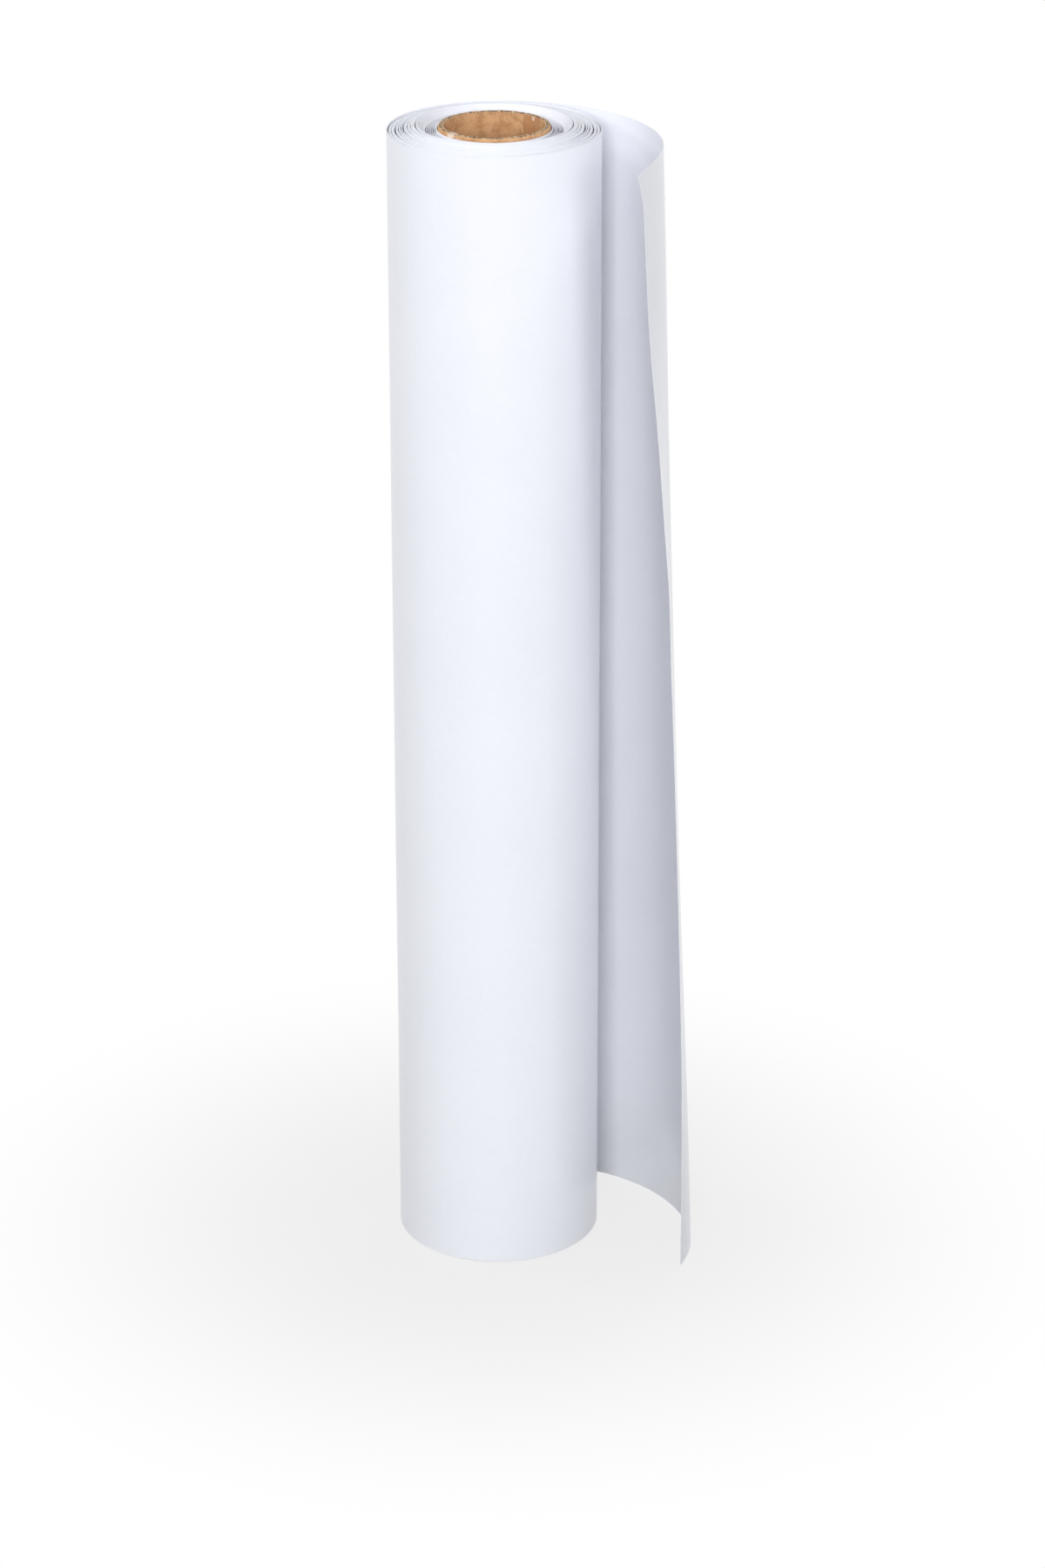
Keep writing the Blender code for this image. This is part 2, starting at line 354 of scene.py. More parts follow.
def grid_quads(index):
    """Quads of a grid of vertex numbers, each from one number to its neighbours along and up."""
    corners = (index[:-1, :-1], index[1:, :-1], index[1:, 1:], index[:-1, 1:])
    return np.stack(corners, axis=-1).reshape(-1, 4)


def both_faces(middle, thickness):
    """A sheet's two faces: its middle surface moved half the thickness each way along the unit normal.

    The normal is the cross product of the step up and the step along, so it points away from the axis.
    """
    normal = np.cross(np.gradient(middle, axis=1), np.gradient(middle, axis=0))
    normal /= np.linalg.norm(normal, axis=-1, keepdims=True)
    return middle - normal * thickness / 2, middle + normal * thickness / 2


def new_object(name, points, quads, body, replaced=()):
    """An object of these points and faces that rides on a body and stands for CAD nodes."""
    mesh = bpy.data.meshes.new(name)
    mesh.from_pydata(points, [], quads)
    mesh.validate()
    mesh.shade_smooth()
    mesh.set_sharp_from_angle(angle=math.radians(40.0))
    piece = bpy.data.objects.new(name, mesh)
    bpy.context.scene.collection.objects.link(piece)
    if body is not None:
        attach(piece, body)
    if replaced:
        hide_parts(*replaced)
    return piece


def add_sheet(name, faces, flat, finishes, body, replaced=()):
    """A closed sheet: two faces, each a grid of columns by rows of points, joined by strips along the rims.

    flat gives each grid point's place on the flat sheet in metres, for the UV map. The finishes are those
    of the inner face, the outer face and the rims.
    """
    inner, outer = faces
    count = inner.shape[0] * inner.shape[1]
    near = np.arange(count).reshape(inner.shape[:2])
    far = near + count
    rims = (
        np.stack([far[:, 0], near[:, 0]], axis=1),
        np.stack([near[:, -1], far[:, -1]], axis=1),
        np.stack([near[0], far[0]], axis=1)[::-1],
        np.stack([far[-1], near[-1]], axis=1)[::-1],
    )
    walls = np.concatenate([grid_quads(near), grid_quads(far)[:, ::-1]])
    strips = np.concatenate([grid_quads(rim) for rim in rims])
    points = np.concatenate([inner.reshape(-1, 3), outer.reshape(-1, 3)])
    piece = new_object(name, points, np.concatenate([walls, strips]), body, replaced)
    slots = list(dict.fromkeys(finishes))
    for finish in slots:
        piece.data.materials.append(finish)
    counts = [len(walls) // 2, len(walls) // 2, len(strips)]
    share = np.repeat([slots.index(finish) for finish in finishes], counts)
    piece.data.polygons.foreach_set("material_index", share.astype(np.int32))
    corners = np.zeros(len(piece.data.loops), np.int32)
    piece.data.loops.foreach_get("vertex_index", corners)
    spread = np.concatenate([flat.reshape(-1, 2)] * 2)[corners]
    layer = piece.data.uv_layers.new(name="flat")
    layer.uv.foreach_set("vector", spread.astype(np.float32).ravel())
    return piece


# Finishes


class Value:
    """A shader value. Arithmetic on it adds Math nodes to its finish."""

    def __init__(self, finish, socket):
        self.finish = finish
        self.socket = socket

    def maths(self, operation, *values):
        return self.finish.node("ShaderNodeMath", {"operation": operation}, dict(enumerate(values)))

    def __add__(self, other):
        return self.maths("ADD", self, other)

    def __radd__(self, other):
        return self.maths("ADD", other, self)

    def __sub__(self, other):
        return self.maths("SUBTRACT", self, other)

    def __rsub__(self, other):
        return self.maths("SUBTRACT", other, self)

    def __mul__(self, other):
        return self.maths("MULTIPLY", self, other)

    def __rmul__(self, other):
        return self.maths("MULTIPLY", other, self)

    def __truediv__(self, other):
        return self.maths("DIVIDE", self, other)

    def __rtruediv__(self, other):
        return self.maths("DIVIDE", other, self)

    def between(self, low, high):
        """0 where the value is under low, 1 above high, and a smooth rise between."""
        ends = {"Value": self, "From Min": low, "From Max": high}
        return self.finish.node("ShaderNodeMapRange", {"interpolation_type": "SMOOTHSTEP"}, ends)


class Finish:
    """A material's or a world's nodes and the means to add to them."""

    def __init__(self, owner):
        self.owner = owner
        self.owner.use_nodes = True
        self.tree = self.owner.node_tree

    def node(self, kind, options, inputs, output=0):
        """A node of this type with its settings and inputs, as the value of one of its outputs."""
        made = self.tree.nodes.new(kind)
        for option, setting in options.items():
            setattr(made, option, setting)
        for socket, value in inputs.items():
            self.feed(made.inputs[socket], value)
        return Value(self, made.outputs[output])

    def feed(self, socket, value):
        """Links a value to a socket, or sets the socket to a number or colour."""
        if isinstance(value, Value):
            self.tree.links.new(value.socket, socket)
        elif hasattr(value, "__len__") and len(value) == 3 and socket.type == "RGBA":
            socket.default_value = (*value, 1.0)
        else:
            socket.default_value = value

    def place(self):
        """Where a point of the surface is, in the object's own space."""
        return self.node("ShaderNodeTexCoord", {}, {}, "Object")

    def flat(self):
        """Where a point of the surface lies on the flat sheet, in metres."""
        return self.node("ShaderNodeUVMap", {"uv_map": "flat"}, {})

    def part(self, vector, axis):
        """One coordinate of a vector."""
        return self.node("ShaderNodeSeparateXYZ", {}, {"Vector": vector}, axis)

    def stretched(self, vector, scale):
        """A vector multiplied axis by axis."""
        return self.node("ShaderNodeVectorMath", {"operation": "MULTIPLY"}, {0: vector, 1: scale})

    def noise(self, vector, scale, detail=2.0, roughness=0.5):
        """Noise about 1/scale metres across, from 0 to 1."""
        inputs = {"Vector": vector, "Scale": scale, "Detail": detail, "Roughness": roughness}
        return self.node("ShaderNodeTexNoise", {}, inputs, "Fac")

    def mix(self, share, first, second):
        """A colour between two colours."""
        return self.node("ShaderNodeMix", {"data_type": "RGBA"}, {0: share, 6: first, 7: second}, 2)

    def bump(self, height, strength, distance):
        """A normal that follows a height, which is 0 to 1 over the distance."""
        inputs = {"Height": height, "Strength": strength, "Distance": distance}
        return self.node("ShaderNodeBump", {}, inputs)

    def done(self, colour, roughness, normal, constants=None):
        """Feeds the shader that a new material has and returns the material."""
        inputs = {"Base Color": colour, "Roughness": roughness, "Normal": normal, **(constants or {})}
        for socket, value in inputs.items():
            self.feed(self.tree.nodes["Principled BSDF"].inputs[socket], value)
        return self.owner

    def seen_or_lit(self, share, lit, seen):
        """Ends with the shader lit, mixed by share with the shader seen for rays that see the background.

        Those are the rays of the camera, of mirrors and of glass. Every other ray carries light.
        """
        rays = ("Is Camera Ray", "Is Glossy Ray", "Is Transmission Ray")
        sees = [self.node("ShaderNodeLightPath", {}, {}, ray) for ray in rays]
        sees = sees[0].maths("MAXIMUM", sees[0].maths("MAXIMUM", sees[0], sees[1]), sees[2])
        mixed = self.node("ShaderNodeMixShader", {}, {0: sees * share, 1: lit, 2: seen})
        output = next(node for node in self.tree.nodes if node.type.startswith("OUTPUT"))
        self.feed(output.inputs["Surface"], mixed)
        return self.owner


def shared(maker):
    """The material that a function below makes, made once and named after the function."""
    ready = bpy.data.materials.get(maker.__name__)
    return ready or maker(Finish(bpy.data.materials.new(maker.__name__)), settings().finish)


def paper_face(finish, look):
    """Satin coated paper: cloudy formation a few millimetres across, faint clouds and a fine tooth."""
    place = finish.place()
    clouds = finish.noise(place, 14.0, 3.0)
    formation = finish.noise(place, 330.0, 4.0, 0.6)
    tooth = finish.noise(place, 2400.0, 2.0)
    share = (clouds * 0.6 + formation * 0.4).between(0.35, 0.68)
    colour = finish.mix(share, look.paper, look.paper_shade)
    roughness = 0.29 + formation * 0.05 + clouds * 0.04
    normal = finish.bump(tooth * 0.6 + formation * 0.4, 0.10, 0.00003)
    return finish.done(colour, roughness, normal, {"Coat Weight": 0.5, "Coat Roughness": 0.2})


def paper_edge(finish, look):
    """Cut edge of the paper: matt and fibrous, a little dusty, with each turn's own tone and painted shade
    at the slack lines.
    """
    place = finish.place()
    fibres = finish.noise(place, 1500.0, 3.0)
    edge_darkening = finish.noise(place, 160.0, 3.0, 0.6)
    turn = finish.node("ShaderNodeAttribute", {"attribute_name": "turn_tone"}, {}, "Fac")
    # The turn's tone holds painted shade at the slack lines besides its random part.
    share = (edge_darkening * 0.5 + fibres * 0.25 + turn * 0.45).between(0.30, 1.05)
    colour = finish.mix(share, look.edge, look.edge_shade)
    normal = finish.bump(fibres, 0.25, 0.00008)
    return finish.done(colour, 0.62 + fibres * 0.2, normal)


def kraft_colour(finish, look, place):
    """Board colour: blotches a few millimetres across, pale and dark fibres, and the fibres' height."""
    blotches = finish.noise(place, 210.0, 4.0, 0.62)
    upright = finish.noise(finish.stretched(place, (1.0, 1.0, 0.28)), 1500.0, 3.0, 0.6)
    specks = finish.noise(place, 2600.0, 2.0)
    colour = finish.mix(blotches.between(0.36, 0.70), look.kraft, look.kraft_dark)
    colour = finish.mix(upright.between(0.52, 0.74) * 0.65, colour, look.kraft_pale)
    colour = finish.mix(specks.between(0.62, 0.76) * 0.5, colour, look.kraft_dark)
    return colour, blotches * 0.35 + upright * 0.45 + specks * 0.2


def kraft_face(finish, look):
    """Face of the core's board."""
    colour, height = kraft_colour(finish, look, finish.place())
    return finish.done(colour, 0.80 + height * 0.15, finish.bump(height, 0.35, 0.00012))


def torn_patch(finish, around, below, size):
    """1 in a patch of a ply's face and 0 outside: an ellipse by the rim, whose edge is moved by noise."""
    ragged = finish.noise(finish.place(), 520.0, 5.0, 0.65)
    across = (finish.part(finish.flat(), "X") - around) / size[0]
    down = (finish.part(finish.flat(), "Y") - CORE_TOP + below) / size[1]
    return 1.0 - (across * across + down * down + (ragged - 0.5) * 5.0).between(0.2, 0.9)


def kraft_liner(finish, look):
    """Face of the ply that lines the bore, redder on one side of its seam, with a pale scuff by the rim."""
    place = finish.place()
    colour, height = kraft_colour(finish, look, place)
    ragged = finish.noise(place, 520.0, 5.0, 0.65)
    red_side = 1.0 - (finish.part(finish.flat(), "X") + ragged * 0.006).between(0.009, 0.020)
    colour = finish.mix(red_side * 0.55, colour, look.kraft_red)
    scuff = torn_patch(finish, SCUFF_AROUND, SCUFF_BELOW, SCUFF_SIZE)
    colour = finish.mix(scuff * 0.7, colour, look.fibre)
    return finish.done(colour, 0.80 + height * 0.15, finish.bump(height - scuff * 0.4, 0.35, 0.00012))


def kraft_torn(finish, look):
    """Face of the outermost ply, torn open to its pale inside below the tuft."""
    colour, height = kraft_colour(finish, look, finish.place())
    core = settings().core
    from_seam = core.tuft_azimuth - core.liner_seam - 3 * core.stagger + TURN
    around = from_seam * (core.bore / 2 + core.wall - core.outer)
    tear = torn_patch(finish, around, TEAR_BELOW, TEAR_SIZE)
    colour = finish.mix(tear * 0.85, colour, look.fibre)
    return finish.done(colour, 0.80 + height * 0.15, finish.bump(height - tear * 0.8, 0.5, 0.0002))


def kraft_rim(finish, look):
    """Cut rim of the board: paler, coarse and fibrous."""
    place = finish.place()
    fibres = finish.noise(place, 1900.0, 4.0, 0.65)
    patches = finish.noise(place, 260.0, 3.0)
    colour = finish.mix(fibres.between(0.40, 0.68), look.kraft_cut, look.kraft_dark)
    colour = finish.mix(patches.between(0.48, 0.72) * 0.7, colour, look.kraft_pale)
    return finish.done(colour, 0.88, finish.bump(fibres, 0.6, 0.0002))


def glued_face(finish, look):
    """Faces of the plies that have come apart: painted shade, near black for the dark inside the splits,
    streaked by fibres.
    """
    fibres = finish.noise(finish.place(), 1800.0, 3.0)
    colour = finish.mix(fibres.between(0.55, 0.80), look.glue, look.kraft_dark)
    return finish.done(colour, 0.7, finish.bump(fibres, 0.5, 0.0001))


def loose_fibre(finish, look):
    """Loose fibres and torn shreds of the board."""
    place = finish.place()
    tone = finish.noise(place, 700.0, 2.0)
    colour = finish.mix(tone.between(0.50, 0.80), look.fibre, look.kraft)
    return finish.done(colour, 0.9, finish.bump(finish.noise(place, 6000.0), 0.3, 0.00003))


def creped_tape(finish, look):
    """Paper tape with fine creping along its length."""
    place = finish.place()
    crepe = finish.noise(finish.stretched(place, (1.0, 1.0, 6.0)), 520.0, 3.0)
    colour = finish.mix(crepe.between(0.3, 0.7), look.tape, tuple(0.85 * value for value in look.tape))
    return finish.done(colour, 0.50 + crepe * 0.15, finish.bump(crepe, 0.5, 0.0001))


# Wound web


def add_paper(name, faces, flat, body, tone, replaced=()):
    """A sheet of paper. tone is how dark its cut edges are, from random tone and painted shade, as one
    number or a number for each point.
    """
    finishes = [shared(paper_face), shared(paper_face), shared(paper_edge)]
    piece = add_sheet(name, faces, flat, finishes, body, replaced)
    values = np.broadcast_to(tone, len(piece.data.vertices)).astype(np.float32)
    piece.data.attributes.new("turn_tone", "FLOAT", "POINT").data.foreach_set("value", values)
    return piece


def wound_line(web, start, end):
    """Turn number, radius, rise and edge darkening along the wound web, one spiral from the core outwards.

    The radius grows by one pitch a turn and steps out at each line of SLACK_LINES. The rise along the axis
    starts with a low collar at the core, is level on the recess's floor, climbs to the recess's rim and
    falls evenly from there outwards. Next to each slack line it dips by a bell curve, and a seeded
    unevenness from turn to turn is added.
    """
    inset, extra, dip = np.array(SLACK_LINES).T
    opened = np.concatenate([[0.0], np.cumsum(extra)])
    turns = (end - start - opened[-1]) / web.wound_pitch
    line = np.linspace(0.0, turns, int(turns * WOUND_STEPS) + 1)
    slack_turn = (LEAVE_RADIUS - inset - start - opened[:-1]) / web.wound_pitch
    past = line[:, None] - slack_turn
    radius = start + line * web.wound_pitch + smooth(past / SLACK_STEP) @ extra
    marks = np.arange(int(turns) + 2)
    uneven = np.interp(line, marks, np.random.default_rng(5).uniform(0.0, 1.0, marks.size))
    collar = [start + turn * web.wound_pitch for turn in COLLAR_TURNS]
    places = [*collar, web.recess_floor, web.recess_rim, end]
    rise = np.interp(radius, places, [web.collar, web.floor_rise, web.floor_rise, web.cone_height, 0.0])
    rise = rise - bell((past - 0.5) / DIP_SPREAD) @ dip + uneven * web.ruffle
    # Random tone from turn to turn, plus painted shade: a bell at each slack line darkens the turns' edges
    # where the gaps are.
    edge_darkening = 0.25 * uneven + bell((past - 0.5) / SLACK_SHADE_SPREAD) @ (extra / extra.max())
    return line - turns, radius, np.maximum(rise, 0.0), np.minimum(edge_darkening, 1.0)


def add_wound_web(web, core):
    """The wound web: a sheet carried along its spiral, whose edges form both ends of the roll."""
    start = core.bore / 2 + core.wall + web.core_room
    loose_inside = LEAVE_RADIUS - (web.loose_turns + 1) * web.loose_pitch - web.thickness / 2
    end = loose_inside - web.outer_room - web.thickness / 2
    line, radius, rise, edge_darkening = wound_line(web, start, end)
    azimuth = LEAVE_AZIMUTH + line * TURN
    up = np.array([0.0, 1.0])
    middle = on_roll(radius[:, None], azimuth[:, None], rise[:, None] + up * WEB_WIDTH)
    along = np.cumsum(np.hypot(np.gradient(radius), radius * np.gradient(azimuth)))
    flat = flat_places(along[:, None], up * WEB_WIDTH)
    faces = both_faces(middle, web.thickness)
    tone = np.tile(np.repeat(edge_darkening, 2), 2)
    piece = add_paper("wound_web", faces, flat, "roll", tone, ["winding"])


# Loose turns and tail


def add_under_turns(web):
    """The loose turns under the last one: a sheet on a spiral of one loose pitch a turn."""
    line = np.linspace(-float(web.loose_turns), 0.0, web.loose_turns * UNDER_STEPS + 1)
    radius = LEAVE_RADIUS + (line - 1.0) * web.loose_pitch
    lift = UNDER_LIFT * (1.0 + wander(line * TURN / web.loose_turns, 11, 1, 5)) * smooth(-line * 2.0)
    up = np.array([0.0, 1.0])
    height = TURN_FOOT + np.abs(lift[:, None]) + up * WEB_WIDTH
    middle = on_roll(radius[:, None], LEAVE_AZIMUTH + line[:, None] * TURN, height)
    flat = flat_places(line[:, None] * TURN * LEAVE_RADIUS, up * WEB_WIDTH)
    piece = add_paper("loose_under_turns", both_faces(middle, web.thickness), flat, "loose_turn", 0.2)


def add_last_turn(web):
    """The last turn round the roll: a spiral of one loose pitch with shallow swells in its face.

    The swells are products of two random lines, one round the roll and one up it, and die out at both ends.
    """
    line = np.linspace(0.0, 1.0, LAST_STEPS + 1)
    up = np.linspace(0.0, 1.0, 62)
    swell = np.abs(np.outer(wander(line * TURN, 3, 2, 9, 1.0), wander(up * TURN, 4, 1, 4, 1.0)))
    swell = SWELL_HEIGHT * swell * smooth(np.minimum(line, 1.0 - line) * 12.0)[:, None]
    radius = LEAVE_RADIUS + (line - 1.0) * web.loose_pitch
    height = TURN_FOOT + up[None] * WEB_WIDTH
    middle = on_roll(radius[:, None] + swell, LEAVE_AZIMUTH + line[:, None] * TURN, height)
    flat = flat_places(line[:, None] * TURN * LEAVE_RADIUS, up * WEB_WIDTH)
    faces = both_faces(middle, web.thickness)
    piece = add_paper("last_turn", faces, flat, "loose_turn", 0.0, ["outer_turn"])


def tail_heights(tail):
    """Shares of the web's width at the tail's rows, with one row at the foot of the ear."""
    ear_foot = 1.0 - tail.ear_height / WEB_WIDTH
    return np.concatenate([np.linspace(0.0, ear_foot, 64), np.linspace(ear_foot, 1.0, 9)[1:]])


def tail_middle(tail, columns, steps):
    """Middle surface of the tail, as points and lengths of columns by rows.

    At each height the plan curve's bend keeps to the roll up to its lift-off, then is that of a large free
    radius, and changes to a bend of its own next to the cut edge: curled at the corners, slack between and
    with two buckles that are bell curves over the height. The bend summed along the length gives the
    heading, and the heading's cosine and sine summed give the plan. The upper corner runs past the cut as
    an ear, and soft waves grow towards the cut edge.
    """
    up = tail_heights(tail)
    ear = np.clip((up - 1.0) * WEB_WIDTH / tail.ear_height + 1.0, 0.0, 1.0) * tail.ear_width
    knife = CUT_WANDER * wander(up * TURN / 2, 21, 1, 14, 0.7)
    root_share = np.linspace(0.0, 1.0, columns[0] * steps + 1)
    end_share = np.linspace(0.0, 1.0, columns[1] * steps + 1)[1:]
    cut = tail.length + ear + knife
    length = np.concatenate(
        [
            np.outer(np.ones_like(up), root_share) * tail.seam,
            tail.seam + np.outer(cut - tail.seam, end_share),
        ],
        axis=1,
    )
    height = up[:, None]
    lift_off = tail.lift_foot + (tail.lift_top - tail.lift_foot) * height**tail.lift_power
    held = 1.0 / (1.0 + np.exp((length - lift_off) / tail.lift_blend))
    curled = 1.0 / (1.0 + np.exp((tail.length - tail.curl_length - length) / tail.curl_blend))
    free_bend = 1.0 / (tail.free_radius_foot + (tail.free_radius_top - tail.free_radius_foot) * height)
    corners = tail.curl_foot + (tail.curl_top - tail.curl_foot) * height
    sag = 4.0 * height * (1.0 - height) * (tail.curl_middle - (tail.curl_foot + tail.curl_top) / 2)
    upper = tail.upper_buckle * bell((height - UPPER_BUCKLE[0]) / UPPER_BUCKLE[1])
    lower = tail.lower_buckle * bell((height - LOWER_BUCKLE[0]) / LOWER_BUCKLE[1])
    curl = corners + sag + upper + lower
    bend = held / LEAVE_RADIUS + (1.0 - held) * (free_bend + (curl - free_bend) * curled)
    step = np.diff(length, axis=1)
    turned = np.cumsum((bend[:, 1:] + bend[:, :-1]) / 2 * step, axis=1)
    heading = -LEAVE_AZIMUTH - np.pad(turned, ((0, 0), (1, 0)))
    mean_heading = (heading[:, 1:] + heading[:, :-1]) / 2
    across = PEEL_LINE[0] + np.pad(np.cumsum(np.cos(mean_heading) * step, axis=1), ((0, 0), (1, 0)))
    back = PEEL_LINE[1] + np.pad(np.cumsum(np.sin(mean_heading) * step, axis=1), ((0, 0), (1, 0)))
    grown = smooth((length - WAVE_START) / WAVE_GROWTH)
    wave = tail.wave * grown * wander(up * TURN / 2, 8, 2, 5, 1.0)[:, None]
    across = across - np.sin(heading) * wave
    back = back + np.cos(heading) * wave
    rows = np.broadcast_to(TURN_FOOT + height * WEB_WIDTH, across.shape)
    middle = np.stack([across, back, rows], axis=-1)
    flat = np.stack([length, rows], axis=-1)
    return middle[:, ::steps].swapaxes(0, 1), flat[:, ::steps].swapaxes(0, 1)


def add_tail(web, tail):
    """The tail in two stretches, which meet at their seam."""
    middle, flat = tail_middle(tail, (ROOT_COLUMNS, END_COLUMNS), BEND_STEPS)
    inner, outer = both_faces(middle, web.thickness)
    stretches = {
        "tail_root_sheet": (slice(0, ROOT_COLUMNS + 1), "tail_root"),
        "tail_end_sheet": (slice(ROOT_COLUMNS, None), "tail_end"),
    }
    made = []
    for name, (columns, node) in stretches.items():
        faces = (inner[columns], outer[columns])
        made.append(add_paper(name, faces, flat[columns], None, 0.0, [node]))
    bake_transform(made[0])
    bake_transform(made[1])


# Core


def ply_faces(inside, outside, seam, core, seed, lean, tilt, shoulder):
    """Both faces of one ply: a board bent round the axis to a butt seam, ragged and splayed at its rims.

    Each rim's height is a closed random line, and the upper rim's falls by tilt times 0.3 plus the
    azimuth's cosine. Towards a rim the radius grows by lean times a share that is 0.35 of one plus the
    azimuth's cosine, so most at the back, and up to 0.3 at random. The outer face's radius shrinks there by
    shoulder. The walls are uneven by a few hundredths of a millimetre.
    """
    gap = core.seam_gap
    start = seam + gap / 2 / inside
    azimuth = np.linspace(start, start + TURN - gap / inside, 481)
    even_rows = np.linspace(EVEN_ROWS_INSET, CORE_TOP - EVEN_ROWS_INSET, 8)
    height = np.concatenate([RIM_ROWS, even_rows, CORE_TOP - RIM_ROWS[::-1]])
    from_rim = np.minimum(height, CORE_TOP - height)
    near_rim = np.exp(-from_rim / FRAY_DEPTH)
    oval = 0.35 * (1.0 + np.cos(azimuth)) + 0.3 * smooth(0.5 + 0.5 * wander(azimuth, seed, 2, 9, 0.6))
    splay = lean * np.exp(-from_rim / SPLAY_DEPTH) * oval[:, None]
    rounding = shoulder * np.exp(-from_rim / SHOULDER_DEPTH)
    sunk = tilt * (0.3 + np.cos(azimuth))[:, None] * near_rim
    faces = []
    for radius, shift in ((inside, 0), (outside, 1)):
        cut = core.fray * np.abs(wander(azimuth, seed + shift + 10, 6, 110, 0.35))[:, None] * near_rim
        uneven = BOARD_UNEVENNESS * wander(azimuth, seed + 20, 3, 40, 0.6)[:, None]
        top = np.where(height > CORE_TOP / 2, height - cut - sunk, height + cut * 0.5)
        reach = radius + splay - rounding * shift + uneven * (1.0 - near_rim)
        faces.append(on_roll(reach, azimuth[:, None], top))
    around = (azimuth - start) * inside
    return faces, flat_places(around[:, None], height)


def add_core(core, face, liner_face, torn_face, glue, rim):
    """The tube's four plies, from the bore out: the first and the last have come away from the others.

    Each row gives a ply's name, its two radii, its lean, tilt and shoulder, and its two faces' finishes.
    """
    bore = core.bore / 2
    outside = bore + core.wall
    low = bore + core.liner + core.split
    high = outside - core.outer - core.outer_split
    middle = (low + high) / 2
    plies = (
        # The faces towards the splits get the near-black painted shade.
        ("core_liner", bore, bore + core.liner, core.splay, core.tilt, 0.0, liner_face, glue),
        ("core_inner", low, middle - core.ply_gap / 2, 0.0, 0.0, 0.0, glue, face),
        ("core_middle", middle + core.ply_gap / 2, high, 0.0, 0.0, 0.0, face, glue),
        ("core_outer", outside - core.outer, outside, 0.0, 0.0, core.shoulder, glue, torn_face),
    )
    for number, (name, inside, far, lean, tilt, shoulder, inner_face, outer_face) in enumerate(plies):
        seam = core.liner_seam + number * core.stagger
        faces, flat = ply_faces(inside, far, seam, core, 31 + number * 7, lean, tilt, shoulder)
        add_sheet(name, faces, flat, [inner_face, outer_face, rim], "roll", [name + "_ply"])


def strand_points(root, lean, curl, width, thickness):
    """Three-sided strands: each runs from its root along lean and bends by curl times the share squared.

    Arrays hold one strand a row. The section is a triangle of this width and thickness that tapers to a
    third of its size at the tip.
    """
    share = np.linspace(0.0, 1.0, 6)[None, :, None]
    line = root[:, None] + lean[:, None] * share + curl[:, None] * share**2
    along = lean[:, None] + 2.0 * curl[:, None] * share
    side = np.cross(along, np.array([0.31, 0.17, 0.93]))
    side /= np.linalg.norm(side, axis=-1, keepdims=True)
    out = np.cross(side, along)
    out /= np.linalg.norm(out, axis=-1, keepdims=True)
    taper = 1.0 - share * 0.66
    wide = side * width[:, None, None] / 2 * taper
    thin = out * thickness[:, None, None] / 2 * taper
    return np.stack([line - wide - thin, line + wide - thin, line + thin], axis=2)


def add_rim_fibres(core, finish):
    """Loose fibres all round the upper rim and a tuft of torn shreds at its front left."""
    random = np.random.default_rng(17)
    count = core.fibres + TUFT_SHREDS
    torn = np.arange(count) >= core.fibres

    def drawn(size):
        """A size of each strand, from the range of the shreds or of the fibres."""
        return np.where(torn, random.uniform(*SHRED[size], count), random.uniform(*FIBRE[size], count))

    in_tuft = random.normal(core.tuft_azimuth, TUFT_SPREAD, count)
    azimuth = np.where(torn, in_tuft, random.uniform(0.0, TURN, count))
    radius = core.bore / 2 + core.wall * drawn("depth")
    root = on_roll(radius, azimuth, CORE_TOP - core.fray * 1.6)
    reach = drawn("reach")[:, None]
    swing = (random.uniform(-1.0, 1.0, count) * np.where(torn, SHRED_SWING, 1.0))[:, None]
    outward = on_roll(np.ones(count), azimuth, np.zeros(count))
    around = on_roll(np.ones(count), azimuth + TURN / 4, np.zeros(count))
    climb = np.array([0.0, 0.0, 1.0])
    rise = np.where(torn, SHRED_RISE, random.uniform(*FIBRE_RISE, count))[:, None]
    droop = rise * (0.5 + 0.2 * torn[:, None])
    lean = reach * (climb * rise + around * swing * 0.8)
    curl = reach * (outward * drawn("bend")[:, None] + around * swing - climb * droop)
    width = drawn("width")
    thickness = np.where(torn, SHRED_THICKNESS, width * 0.8)
    points = strand_points(root, lean, curl, width, thickness)
    number = np.arange(points.size // 3).reshape(points.shape[:3])
    ring = np.concatenate([number, number[:, :, :1]], axis=2)
    sides = np.stack([ring[:, :-1, :-1], ring[:, 1:, :-1], ring[:, 1:, 1:], ring[:, :-1, 1:]], axis=-1)
    caps = np.concatenate([number[:, 0], number[:, -1, ::-1]])
    faces = sides[..., ::-1].reshape(-1, 4).tolist() + caps.tolist()
    piece = new_object("rim_fibres", points.reshape(-1, 3), faces, "roll")
    piece.data.materials.append(finish)


def add_start_tape(core, finish):
    """The tape under the first turn: a strip bent round the core, with a fine sine ripple up its length."""
    radius = core.bore / 2 + core.wall + core.tape_thickness / 2 + TAPE_ROOM
    low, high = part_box("start_tape")
    azimuth = np.linspace(0.0, core.tape_width / radius, 25) + LEAVE_AZIMUTH
    height = np.linspace(low.z, high.z, 240)
    ripple = RIPPLE_HEIGHT * (1.0 + np.sin(height * TURN / RIPPLE_PITCH))
    middle = on_roll(radius + ripple[None], azimuth[:, None], height[None])
    flat = flat_places((azimuth * radius)[:, None], height)
    faces = both_faces(middle, core.tape_thickness)
    piece = add_sheet("start_tape_strip", faces, flat, [finish] * 3, "roll", ["start_tape"])


# Stage


def studio_floor(finish, look):
    """White floor that keeps a faint shadow near the roll and fades to plain white away from it."""
    away = finish.node("ShaderNodeVectorMath", {"operation": "LENGTH"}, {0: finish.place()}, "Value")
    plain = FLOOR_PLAIN + away.between(*FLOOR_FADE) * (1.0 - FLOOR_PLAIN)
    lit = finish.node("ShaderNodeBsdfDiffuse", {}, {"Color": FLOOR_GREY})
    return finish.seen_or_lit(plain, lit, finish.node("ShaderNodeEmission", {}, {"Strength": 1.0}))


